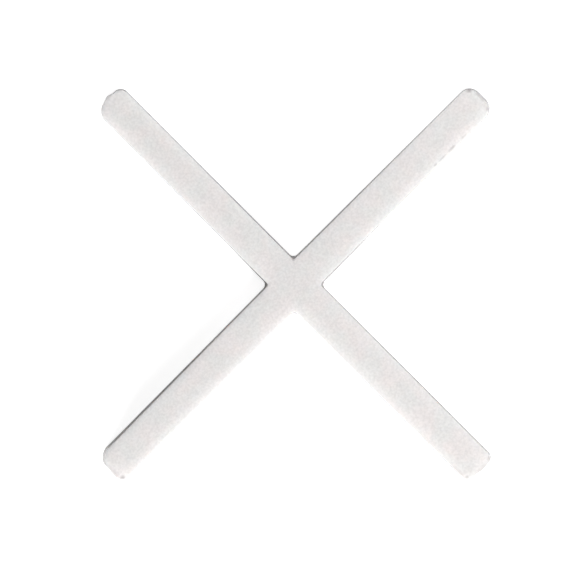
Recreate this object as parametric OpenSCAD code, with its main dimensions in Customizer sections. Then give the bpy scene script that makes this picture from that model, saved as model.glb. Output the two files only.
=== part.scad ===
// Cross shaped tile spacer, moulded in one piece.
// It lies on its wide back, arms along X and Y, with the origin at the centre of the back.
// The walls lean in from the back to the front face, so that the part leaves its mould,
// and come in a little along each arm, so that the arms slip easily into the joints.

/* [Joint] */
// Width of the arms where they leave the cross, which is the width of the joint between two tiles
arm_w = 2; // [1.5:0.1:6]
// Distance from the centre of the cross to the end of each arm
reach = 14; // [6:0.1:30]
// Thickness from the back to the front face
thickness = 4; // [2:0.1:8]
// Angle, in degrees, at which each side of an arm comes in towards its end
side_angle = 0.2; // [0:0.05:0.4]

/* [Moulding] */
// Lean of the walls, in degrees
draft = 1; // [0:0.1:3]
// Rounding where the walls run into the front face
edge_r = 0.04; // [0.02:0.01:0.2]
// Rounding of the two corners at the end of each arm, measured at the back
tip_r = 0.6; // [0.4:0.05:0.7]
// Fillet in the four inside corners of the cross, measured at the back
root_r = 0.3; // [0.1:0.05:1.5]

/* [Hidden] */
$fn = 96;
plastic_colour = [0.89, 0.885, 0.88];
arm_count = 4;
// How far a cutter runs past the part
overrun = 1;
// How far a piece is filled in behind its wall: past the centre line of the arm
fill = arm_w;

// Front edge: where a wall meets its rounding, as a height and an inset from the wall's foot
edge_z = thickness - edge_r;
edge_inset = (edge_r + edge_z * sin(draft)) / cos(draft);
wall_top_z = edge_z + edge_r * sin(draft);
wall_top_inset = wall_top_z * tan(draft);

// Centre of the fillet in an inside corner, as far along X as along Y
root_centre = arm_w / 2 + root_r;
// Straight wall from the fillet to the rounded corner at the end of the arm
wall_length = (reach - tip_r - root_centre + (root_r + tip_r) * sin(side_angle)) / cos(side_angle);

// Section of a leaning wall with its foot at the origin, filled in to the left as far as depth
module wall_section(depth) {
    polygon([
        [-depth, 0],
        [0, 0],
        [-wall_top_inset, wall_top_z],
        [-edge_inset, thickness],
        [-depth, thickness]
    ]);
    translate([-edge_inset, edge_z])
        circle(r = edge_r);
}

// Section of the space to the left of a wall that leans away from it, as far as depth
module notch_section(depth) {
    difference() {
        polygon([
            [-depth, -overrun],
            [-overrun * tan(draft), -overrun],
            [wall_top_inset, wall_top_z],
            [edge_inset, edge_z],
            [edge_inset, thickness + overrun],
            [-depth, thickness + overrun]
        ]);
        translate([edge_inset, edge_z])
            circle(r = edge_r);
    }
}

// What lies to the right of the axis that a section is turned about
module right_of_axis() {
    intersection() {
        children();
        translate([0, -overrun])
            square([reach, thickness + 2 * overrun]);
    }
}

// A straight wall of the given length along X, facing +Y
module straight_wall(length) {
    rotate([90, 0, 90])
        linear_extrude(height = length)
            wall_section(fill);
}

// A wall that turns through the given angle round the origin, facing out
module round_wall(radius, angle) {
    rotate_extrude(angle = angle)
        right_of_axis()
            translate([radius, 0])
                wall_section(radius + overrun);
}

// Block of the cross's centre with its corner at the origin, hollowed there by the fillet
module root_block() {
    size = 2 * root_centre;
    difference() {
        translate([-size, -size, 0])
            cube([size, size, thickness]);
        rotate_extrude()
            right_of_axis()
                translate([root_r, 0])
                    notch_section(root_r + overrun);
    }
}

// Rounded corner at the end of an arm, its centre at the origin, and the end wall that follows it
module tip() {
    round_wall(tip_r, 90 - side_angle);
    translate([tip_r, 0, 0])
        rotate([0, 0, -90])
            straight_wall(fill);
}

// One side of an arm out to its end, and its share of the cross's centre
module half_arm() {
    intersection() {
        linear_extrude(height = thickness)
            polygon([[0, 0], [2 * reach, 0], [2 * reach, 2 * reach]]);
        translate([root_centre, root_centre, 0])
            rotate([0, 0, -side_angle]) {
                root_block();
                translate([0, -root_r, 0])
                    straight_wall(wall_length);
                translate([wall_length, -root_r - tip_r, 0])
                    rotate([0, 0, side_angle])
                        tip();
            }
    }
}

module spacer() {
    color(plastic_colour)
        for (arm = [0 : arm_count - 1], side = [0, 1])
            rotate([0, 0, arm * 360 / arm_count])
                mirror([0, side, 0])
                    half_arm();
}

spacer();
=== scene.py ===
import math
from collections import namedtuple

import bmesh
import bpy
from mathutils import Matrix, Vector, noise


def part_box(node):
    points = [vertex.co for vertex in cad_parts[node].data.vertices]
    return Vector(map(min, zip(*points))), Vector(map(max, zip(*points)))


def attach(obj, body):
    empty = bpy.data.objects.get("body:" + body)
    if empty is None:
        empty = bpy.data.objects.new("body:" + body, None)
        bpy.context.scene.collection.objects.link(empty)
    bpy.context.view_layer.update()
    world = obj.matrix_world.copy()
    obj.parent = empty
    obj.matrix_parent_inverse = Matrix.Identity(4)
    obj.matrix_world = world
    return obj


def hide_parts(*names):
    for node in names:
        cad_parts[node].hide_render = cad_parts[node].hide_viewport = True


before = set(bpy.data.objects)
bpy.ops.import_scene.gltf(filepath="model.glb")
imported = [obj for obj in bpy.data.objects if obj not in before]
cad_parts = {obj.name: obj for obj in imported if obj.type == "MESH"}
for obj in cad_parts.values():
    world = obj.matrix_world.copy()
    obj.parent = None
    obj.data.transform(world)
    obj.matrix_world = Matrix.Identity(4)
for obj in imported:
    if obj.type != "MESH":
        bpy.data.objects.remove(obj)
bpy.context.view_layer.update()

lowCorner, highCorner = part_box("spacer")
mm = 0.001
hair = 0.001 * mm                      # heights closer than this are the same


# Shader building: a socket that can be used in sums, and one method for any node

class Signal:
    def __init__(self, bench, socket):
        self.bench = bench
        self.socket = socket

    def maths(self, operation, first, second):
        return self.bench.add("ShaderNodeMath", {"operation": operation}, {0: first, 1: second})

    def __add__(self, other):
        return self.maths("ADD", self, other)

    def __sub__(self, other):
        return self.maths("SUBTRACT", self, other)

    def __rsub__(self, other):
        return self.maths("SUBTRACT", other, self)

    def __mul__(self, other):
        return self.maths("MULTIPLY", self, other)

    __radd__ = __add__
    __rmul__ = __mul__


class NodeBench:
    def __init__(self, owner):
        owner.use_nodes = True
        self.tree = owner.node_tree
        self.tree.nodes.clear()

    def add(self, kind, settings=None, sockets=None, output=0):
        node = self.tree.nodes.new(kind)
        for name, value in (settings or {}).items():
            setattr(node, name, value)
        for name, value in (sockets or {}).items():
            if isinstance(value, Signal):
                self.tree.links.new(value.socket, node.inputs[name])
            else:
                node.inputs[name].default_value = value
        return Signal(self, node.outputs[output]) if node.outputs else None


# Carries a value over from one span of numbers to another, and holds it there
def spread(bench, value, source, target=(0.0, 1.0)):
    return bench.add("ShaderNodeMapRange", {}, {
        "Value": value, "From Min": source[0], "From Max": source[1],
        "To Min": target[0], "To Max": target[1]})


# The Mix node's two colours are its sockets 6 and 7, and what comes out is its output 2
def mixColour(bench, factor, first, second):
    return bench.add("ShaderNodeMix", {"data_type": "RGBA"}, {0: factor, 6: first, 7: second}, output=2)


# Spacer: a cross with leaning walls, its notches and tips a little different from each other

spacerShape = {
    "armWidth": 2 * mm,                # at the back, where the arms leave the cross
    "rootRadius": 0.3 * mm,            # inside corners of the cross, at the back
    "rootSharpening": 0.55,            # their radius at the front, as a share of that
    "cornerSegments": 10,              # of each inside corner and each corner of a tip
    "edgeRound": 0.045 * mm,           # along the front
    "edgeSegments": 3,
    "backRound": 0.02 * mm,            # along the back
    "backSegments": 2,
    "sideLength": 10 * mm,             # an edge longer than this is the side of an arm
    "cutsPerSide": 110,
    "endStart": 13 * mm,               # an arm's end starts this far out
    "endFlat": 0.15 * mm,              # an edge wider than this is the flat of an end
    "cutsPerEnd": 9,
    "supportRows": (0.1 * mm, 1.4 * mm, 2.7 * mm, 3.88 * mm),      # heights of cuts round the walls
    "wavers": ((0.9 * mm, 0.004 * mm), (0.3 * mm, 0.002 * mm)),    # length, and how far walls stray
    "waverSeed": 1,                    # not 0, which would take the clock
    "weldDistance": 0.0001 * mm,
    "levelNormal": 0.9999,             # faces that look straighter up or down are shaded flat
}

# Notches between the arms, in millimetres: where their sides meet at the back,
# and how far the walls facing along X and along Y lean in there
notchShapes = {
    "top": {"corner": (0.962, 1.055), "leans": (0.066, 0.085)},
    "left": {"corner": (-1.015, 1.052), "leans": (0.055, 0.075)},
    "bottom": {"corner": (-1, -0.972), "leans": (0.02, 0.02)},
    "right": {"corner": (1.01, -0.97), "leans": (0.055, 0.055)},
}

# Tips, in millimetres: two corners as (across, along), from the clockwise one, their radii,
# how far the side and end walls lean in there, and the end's bumps as (across, half width, height)
tipShapes = {
    "topRight": {"turn": 0, "corners": ((-0.92, 14.12), (0.99, 14.12)), "radii": (0.7, 0.62),
                 "leans": (0.04, 0.027), "endLeans": (0.11, 0.11), "bumps": ((-0.55, 0.15, -0.02),)},
    "topLeft": {"turn": 90, "corners": ((-0.972, 14.03), (0.95, 13.96)), "radii": (0.5, 0.65),
                "leans": (0.052, 0.02), "endLeans": (0.11, 0.03), "bumps": ((-0.05, 0.4, 0.11),)},
    "bottomLeft": {"turn": 180, "corners": ((-0.98, 13.83), (0.95, 13.92)), "radii": (0.72, 0.5),
                   "leans": (0.135, 0.02), "endLeans": (0.08, 0.04), "bumps": ((-0.6, 0.2, 0.02),)},
    "bottomRight": {"turn": 270, "corners": ((-0.97, 13.85), (1.01, 13.96)), "radii": (0.5, 0.45),
                    "leans": (0.05, 0.055), "endLeans": (0.04, 0.05), "bumps": ((0.15, 0.45, 0.06),)},
}

# A corner of the cross at the back, how far the front one lies inside it, and its rounding
Corner = namedtuple("Corner", "back inset radius")


# The directions along and across an arm
def armWays(tip):
    turned = Matrix.Rotation(math.radians(tip["turn"]), 3, "Z")
    return turned @ Vector((1, 0, 0)), turned @ Vector((0, 1, 0))


def vertsOf(geometry):
    return [g for g in geometry if isinstance(g, bmesh.types.BMVert)]


def nearest(verts, place):
    return min(verts, key=lambda v: (v.co.xy - place.xy).length)


# Whether an edge parts a wall from the front or the back
def onRim(edge):
    return sorted(abs(f.normal.z) > 0.5 for f in edge.link_faces) == [False, True]


# Pulls an arm out of the middle square and returns the corners of its tip
def growArm(bm, rootEdges, tip):
    heading, across = armWays(tip)
    rootEdge = max(rootEdges, key=lambda e: (e.verts[0].co + e.verts[1].co).dot(heading))
    grown = bmesh.ops.extrude_edge_only(bm, edges=[rootEdge])["geom"]
    ends = sorted(vertsOf(grown), key=lambda v: v.co.dot(across))
    corners = []
    for v, (side, along), radius, lean, endLean in zip(
            ends, tip["corners"], tip["radii"], tip["leans"], tip["endLeans"]):
        v.co = (heading * along + across * side) * mm
        inset = (heading * endLean + across * math.copysign(lean, side)) * mm
        corners.append(Corner(v.co.copy(), inset, radius * mm))
    return corners


# Moves a corner of the middle square into place and returns it
def placeNotch(bm, notch, shape):
    x, y = notch["corner"]
    back = Vector((x, y, 0)) * mm
    nearest(bm.verts, back).co = back
    leanX, leanY = notch["leans"]
    inset = Vector((math.copysign(leanX, x), math.copysign(leanY, y), 0)) * mm
    return Corner(back, inset, shape["rootRadius"])


# Raises the flat cross to its thickness and leans its walls in
def raiseSheet(bm, corners):
    front = vertsOf(bmesh.ops.extrude_face_region(bm, geom=bm.faces[:])["geom"])
    bmesh.ops.translate(bm, verts=front, vec=(0, 0, highCorner.z))
    for corner in corners:
        nearest(front, corner.back).co -= corner.inset


def roundUpright(bm, corner, segments):
    rising = [e for e in bm.edges if abs(e.verts[0].co.z - e.verts[1].co.z) > mm]
    upright = min(rising, key=lambda e: min((v.co - corner.back).length for v in e.verts))
    bmesh.ops.bevel(bm, geom=[upright], offset=corner.radius, offset_type="OFFSET",
                    affect="EDGES", segments=segments, profile=0.5, material=-1)


# Draws the rounding of an inside corner together at the front
def sharpenRoot(bm, root, share):
    front = root.back - root.inset
    top = [v for v in bm.verts if v.co.z > mm and (v.co.xy - front.xy).length < 2 * root.radius]
    bmesh.ops.scale(bm, verts=top, vec=(share, share, 1), space=Matrix.Translation(-front))


def cutSides(bm, shape):
    sides = [e for e in bm.edges if e.calc_length() > shape["sideLength"] and onRim(e)]
    bmesh.ops.subdivide_edges(bm, edges=sides, cuts=shape["cutsPerSide"], use_grid_fill=True)


# Parts the flat of a tip's end, so that its bumps have something to bend
def cutEnd(bm, tip, shape):
    heading, across = armWays(tip)
    flat = [e for e in bm.edges if all(v.co.dot(heading) > shape["endStart"] for v in e.verts)
            and abs((e.verts[0].co - e.verts[1].co).dot(across)) > shape["endFlat"]]
    bmesh.ops.subdivide_edges(bm, edges=flat, cuts=shape["cutsPerEnd"], use_grid_fill=True)


def bendEnd(bm, tip, shape):
    heading, across = armWays(tip)
    for v in bm.verts:
        if v.co.dot(heading) > shape["endStart"]:
            for middle, halfWidth, height in tip["bumps"]:
                near = max(0, 1 - abs(v.co.dot(across) / mm - middle) / halfWidth)
                v.co += heading * height * near * near * (3 - 2 * near) * mm    # an S curve


def cutRows(bm, heights):
    for height in heights:
        bmesh.ops.bisect_plane(bm, geom=bm.verts[:] + bm.edges[:] + bm.faces[:],
                               plane_co=(0, 0, height), plane_no=(0, 0, 1))


def wander(bm, shape):
    noise.seed_set(shape["waverSeed"])
    for v in bm.verts:
        for length, stray in shape["wavers"]:
            drift = noise.noise_vector(v.co / length) * stray
            v.co += Vector((drift.x, drift.y, 0))


def roundRim(bm, height, width, segments):
    rim = [e for e in bm.edges if all(abs(v.co.z - height) < hair for v in e.verts) and onRim(e)]
    bmesh.ops.bevel(bm, geom=rim, offset=width, offset_type="OFFSET", affect="EDGES",
                    segments=segments, profile=0.5, material=-1, clamp_overlap=True)


# Merges what the roundings left in one place, and shades all but the level faces smooth
def cleanUp(bm, shape):
    bmesh.ops.remove_doubles(bm, verts=bm.verts, dist=shape["weldDistance"])
    bmesh.ops.dissolve_degenerate(bm, edges=bm.edges, dist=shape["weldDistance"])
    bmesh.ops.recalc_face_normals(bm, faces=bm.faces)
    for face in bm.faces:
        face.smooth = abs(face.normal.z) < shape["levelNormal"]


def makeObject(bm, name, material):
    mesh = bpy.data.meshes.new(name)
    bm.to_mesh(mesh)
    bm.free()
    mesh.materials.append(material)
    made = bpy.data.objects.new(name, mesh)
    bpy.context.collection.objects.link(made)
    return made


def buildSpacer(shape, notches, tips, material):
    bm = bmesh.new()
    bmesh.ops.create_grid(bm, x_segments=1, y_segments=1, size=shape["armWidth"] / 2)
    rootEdges = bm.edges[:]
    ends = []
    for tip in tips.values():
        ends += growArm(bm, rootEdges, tip)
    roots = [placeNotch(bm, notch, shape) for notch in notches.values()]
    raiseSheet(bm, ends + roots)
    bmesh.ops.recalc_face_normals(bm, faces=bm.faces)
    for corner in ends + roots:
        roundUpright(bm, corner, shape["cornerSegments"])
    for root in roots:
        sharpenRoot(bm, root, shape["rootSharpening"])
    cutSides(bm, shape)
    for tip in tips.values():
        cutEnd(bm, tip, shape)
        bendEnd(bm, tip, shape)
    cutRows(bm, shape["supportRows"])
    wander(bm, shape)
    bmesh.ops.recalc_face_normals(bm, faces=bm.faces)
    bm.normal_update()
    roundRim(bm, highCorner.z, shape["edgeRound"], shape["edgeSegments"])
    roundRim(bm, lowCorner.z, shape["backRound"], shape["backSegments"])
    cleanUp(bm, shape)
    print("spacer:", len(bm.faces), "faces,", round(bm.calc_volume() / mm ** 3, 1), "mm3")
    return makeObject(bm, "spacer_body", material)


# Plastic: frosted and slightly see-through, so that light from the side glows along the edges

plasticFinish = {
    "warm": (0.785, 0.757, 0.753, 1),
    "cool": (0.773, 0.767, 0.761, 1),
    "patchLength": 1.3 * mm,           # the two colours lie in patches
    "patchDetail": 1.0,
    "patchBorders": (0.4, 0.6),        # levels of the noise between which they mix
    "patchDepth": 0.05,                # how much the patches lighten and darken the colour
    "grainLength": 0.12 * mm,
    "grainDetail": 3.0,
    "grainDepth": 0.36,                # how much the grain lightens and darkens the colour,
    "grainRoughness": 0.1,             # and how much it changes the roughness
    "bumpHeight": 0.004 * mm,
    "bumpStrength": 0.5,
    "wallRoughness": 0.15,             # the walls come smooth out of the mould,
    "faceRoughness": 0.55,             # the front and back matt
    "wallToFace": (0.3, 0.9),          # upright share of the normal, from wall to face
    "glowDepth": 1.2 * mm,             # how far light travels inside,
    "glowShares": (1.0, 0.95, 0.9),    # red a little further than green and blue
    "refraction": 1.49,
    # dark colour of the painted shade and the dashes
    "markColour": (0.19, 0.16, 0.175, 1),
    "markCore": 0.3,                   # share of a mark's reach that has its full strength
}

# Painted shade, and darker dashes along one edge: middle and reach in millimetres, and strength
shadeAndDashMarks = (
    ((13.82, 0.78, 4), (0.23, 0.2, 0.6), 0.74),             # painted shade on the top right tip
    ((13.99, 0.1, 4), (0.15, 0.7, 2.5), 0.37),
    ((13.82, -0.67, 4), (0.2, 0.2, 0.6), 0.53),
    ((0.76, 13.86, 4), (0.15, 0.15, 0.6), 0.29),            # painted shade on the top left tip
    ((0.1, 13.99, 4), (0.4, 0.14, 0.6), 0.2),
    ((-13.67, -0.79, 4), (0.26, 0.2, 0.6), 0.56),           # painted shade on the bottom left tip
    ((-13.78, -0.25, 3.8), (0.22, 0.9, 2), 0.25),
    ((-13.78, 0.58, 4), (0.13, 0.13, 0.6), 0.29),
    ((0.81, -13.77, 4), (0.2, 0.17, 0.6), 0.37),            # painted shade on the bottom right tip
    ((-0.78, -13.62, 4), (0.19, 0.17, 0.6), 0.41),
    ((-0.84, -13.2, 3.9), (0.15, 0.95, 0.8), 0.22),
    ((-0.55, -13.6, 3.9), (0.6, 0.5, 2), 0.1),
    ((0, -13.92, 3.8), (1, 0.25, 2), 0.25),
    ((0.94, 1.02, 2.6), (0.16, 0.16, 2.6), 0.95),           # painted shade in the top and left notch corners
    ((-1.0, 1.03, 2.6), (0.12, 0.12, 2.6), 0.41),
    ((2.6, -0.97, 3.4), (2.3, 0.42, 2.4), 0.09),            # painted shade along the lower side of the top right arm
    # darker dashes along the lower edge of the top right arm
    ((9.74, -0.765, 4), (0.16, 0.09, 0.3), 0.29),
    ((10.3, -0.77, 4), (0.36, 0.07, 0.3), 0.29),
    ((10.98, -0.76, 4), (0.33, 0.1, 0.3), 0.37),
    ((11.83, -0.768, 4), (0.26, 0.08, 0.3), 0.2),
)


# How darkly each spot is painted: the strongest of the marks that reach it
def addMarks(bench, place, marks, core):
    darkened = 0.0
    for middle, reach, strength in marks:
        offset = bench.add("ShaderNodeVectorMath", {"operation": "SUBTRACT"}, {
            0: place, 1: Vector(middle) * mm})
        scaled = bench.add("ShaderNodeVectorMath", {"operation": "DIVIDE"}, {
            0: offset, 1: Vector(reach) * mm})
        far = bench.add("ShaderNodeVectorMath", {"operation": "LENGTH"}, {0: scaled}, output="Value")
        mark = spread(bench, far, (1.0, core), (0.0, strength))
        darkened = bench.add("ShaderNodeMath", {"operation": "MAXIMUM"}, {0: mark, 1: darkened})
    return darkened


def makePlastic(finish, marks):
    material = bpy.data.materials.new("frosted_plastic")
    bench = NodeBench(material)
    place = bench.add("ShaderNodeTexCoord", output="Object")
    patches = bench.add("ShaderNodeTexNoise", {}, {
        "Vector": place, "Scale": 1 / finish["patchLength"], "Detail": finish["patchDetail"]})
    grain = bench.add("ShaderNodeTexNoise", {}, {
        "Vector": place, "Scale": 1 / finish["grainLength"], "Detail": finish["grainDetail"]})
    tint = spread(bench, patches, finish["patchBorders"])
    colour = mixColour(bench, tint, finish["cool"], finish["warm"])
    darkened = addMarks(bench, place, marks, finish["markCore"])
    # mixes the painted shade and the darker dashes into the colour
    colour = mixColour(bench, darkened, colour, finish["markColour"])
    level = 1 + (grain - 0.5) * finish["grainDepth"] + (patches - 0.5) * finish["patchDepth"]
    shade = bench.add("ShaderNodeVectorMath", {"operation": "SCALE"}, {0: colour, "Scale": level})
    facing = bench.add("ShaderNodeNewGeometry", output="Normal")
    upright = bench.add("ShaderNodeSeparateXYZ", {}, {0: facing}, output="Z")
    flatness = bench.add("ShaderNodeMath", {"operation": "ABSOLUTE"}, {0: upright})
    matt = spread(bench, flatness, finish["wallToFace"],
                  (finish["wallRoughness"], finish["faceRoughness"]))
    rough = matt + (grain - 0.5) * finish["grainRoughness"]
    bump = bench.add("ShaderNodeBump", {}, {
        "Height": grain, "Strength": finish["bumpStrength"], "Distance": finish["bumpHeight"]})
    plastic = bench.add("ShaderNodeBsdfPrincipled", {"subsurface_method": "RANDOM_WALK"}, {
        "Base Color": shade, "Roughness": rough, "Normal": bump,
        "Subsurface Weight": 1.0, "Subsurface Radius": finish["glowShares"],
        "Subsurface Scale": finish["glowDepth"], "IOR": finish["refraction"]})
    bench.add("ShaderNodeOutputMaterial", {}, {"Surface": plastic})
    print("frosted plastic with", len(marks), "marks")
    return material


spacer = buildSpacer(spacerShape, notchShapes, tipShapes, makePlastic(plasticFinish, shadeAndDashMarks))
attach(spacer, "root")
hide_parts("spacer")


# Floor and light: a pale floor that the camera sees as white, with the soft shadow kept

stageSettings = {
    "floorSize": 1.2,
    "floorGap": 0.02 * mm,             # below the back, so that the two never share a plane
    "floorColour": (0.8, 0.8, 0.8, 1),
    "floorLift": 0.8,                  # what the camera alone sees on top of the lit floor
    "ambient": 0.12,                   # strength of the light from all round
}

# Each lamp: heading in degrees from +X, height above the floor in degrees,
# distance and size in metres, power in watts
lamps = {
    # Lights the front, the end walls and the lower sides
    "lampBelow": {"heading": -150, "height": 45, "distance": 0.5, "size": 0.2, "power": 2.2},
    # Glow along the sides that look right
    "lampRight": {"heading": -52, "height": 30, "distance": 0.12, "size": 0.06, "power": 0.063},
    # Low and close, to lift the dark upper sides and the bottom notch a little
    "lampTop": {"heading": 40, "height": 12, "distance": 0.045, "size": 0.02, "power": 0.0038},
    "lampNotch": {"heading": -150, "height": 12, "distance": 0.045, "size": 0.02, "power": 0.0015},
}


def makeFloorWhite(stage):
    material = bpy.data.materials.new("floor_white")
    bench = NodeBench(material)
    seen = bench.add("ShaderNodeLightPath", output="Is Camera Ray")
    lit = bench.add("ShaderNodeBsdfDiffuse", {}, {"Color": stage["floorColour"]})
    lift = bench.add("ShaderNodeEmission", {}, {"Strength": seen * stage["floorLift"]})
    both = bench.add("ShaderNodeAddShader", {}, {0: lit, 1: lift})
    bench.add("ShaderNodeOutputMaterial", {}, {"Surface": both})
    return material


def makeFloor(stage):
    bm = bmesh.new()
    bmesh.ops.create_grid(bm, x_segments=1, y_segments=1, size=stage["floorSize"] / 2)
    bmesh.ops.translate(bm, verts=bm.verts, vec=(0, 0, lowCorner.z - stage["floorGap"]))
    floor = makeObject(bm, "floor", makeFloorWhite(stage))


# The camera, reflections and what shines through see white, and all other light a dim room
def lightWorld(stage):
    world = bpy.data.worlds.new("pale_room")
    bpy.context.scene.world = world
    bench = NodeBench(world)
    camera, glossy, through = [bench.add("ShaderNodeLightPath", output=rays) for rays in (
        "Is Camera Ray", "Is Glossy Ray", "Is Transmission Ray")]
    white = bench.add("ShaderNodeMath", {"operation": "MINIMUM"}, {
        0: camera + glossy + through, 1: 1.0})
    strength = stage["ambient"] + white * (1 - stage["ambient"])
    sky = bench.add("ShaderNodeBackground", {}, {"Color": (1, 1, 1, 1), "Strength": strength})
    bench.add("ShaderNodeOutputWorld", {}, {"Surface": sky})


def addLamp(name, lamp):
    data = bpy.data.lights.new(name, "AREA")
    data.shape = "DISK"
    data.size = lamp["size"]
    data.energy = lamp["power"]
    heading, height = math.radians(lamp["heading"]), math.radians(lamp["height"])
    away = Vector((math.cos(heading) * math.cos(height), math.sin(heading) * math.cos(height),
                   math.sin(height)))
    made = bpy.data.objects.new(name, data)
    made.location = away * lamp["distance"]
    made.rotation_euler = away.to_track_quat("Z", "Y").to_euler()
    made.visible_camera = False
    bpy.context.collection.objects.link(made)


makeFloor(stageSettings)
lightWorld(stageSettings)
for name, lamp in lamps.items():
    addLamp(name, lamp)
print("floor and", len(lamps), "lamps")


# Camera: straight above, turned so that the arms run to the corners of the picture

photo = {
    "width": 580,                      # pixels, as are the next two
    "tipToTip": 528.3,
    "cross": (294.2, 284.6),           # where the arms cross
    "turn": -45,                       # degrees
    "lens": 1200,                      # so long that the walls show by their lean alone
}


def placeCamera(photo):
    data = bpy.data.cameras.new("camera")
    data.lens = photo["lens"]
    pixel = (highCorner.x - lowCorner.x) / photo["tipToTip"]
    distance = photo["width"] * pixel * data.lens / data.sensor_width
    middle = (photo["width"] - 1) / 2
    turned = Matrix.Rotation(math.radians(photo["turn"]), 3, "Z")
    aside = Vector((middle - photo["cross"][0], photo["cross"][1] - middle, 0)) * pixel
    camera = bpy.data.objects.new("camera", data)
    camera.location = turned @ aside + Vector((0, 0, distance))
    camera.rotation_euler = (0, 0, math.radians(photo["turn"]))
    bpy.context.collection.objects.link(camera)
    bpy.context.scene.camera = camera
    print("camera", round(distance, 2), "m above the cross")


placeCamera(photo)
bpy.context.scene.view_settings.view_transform = "Standard"
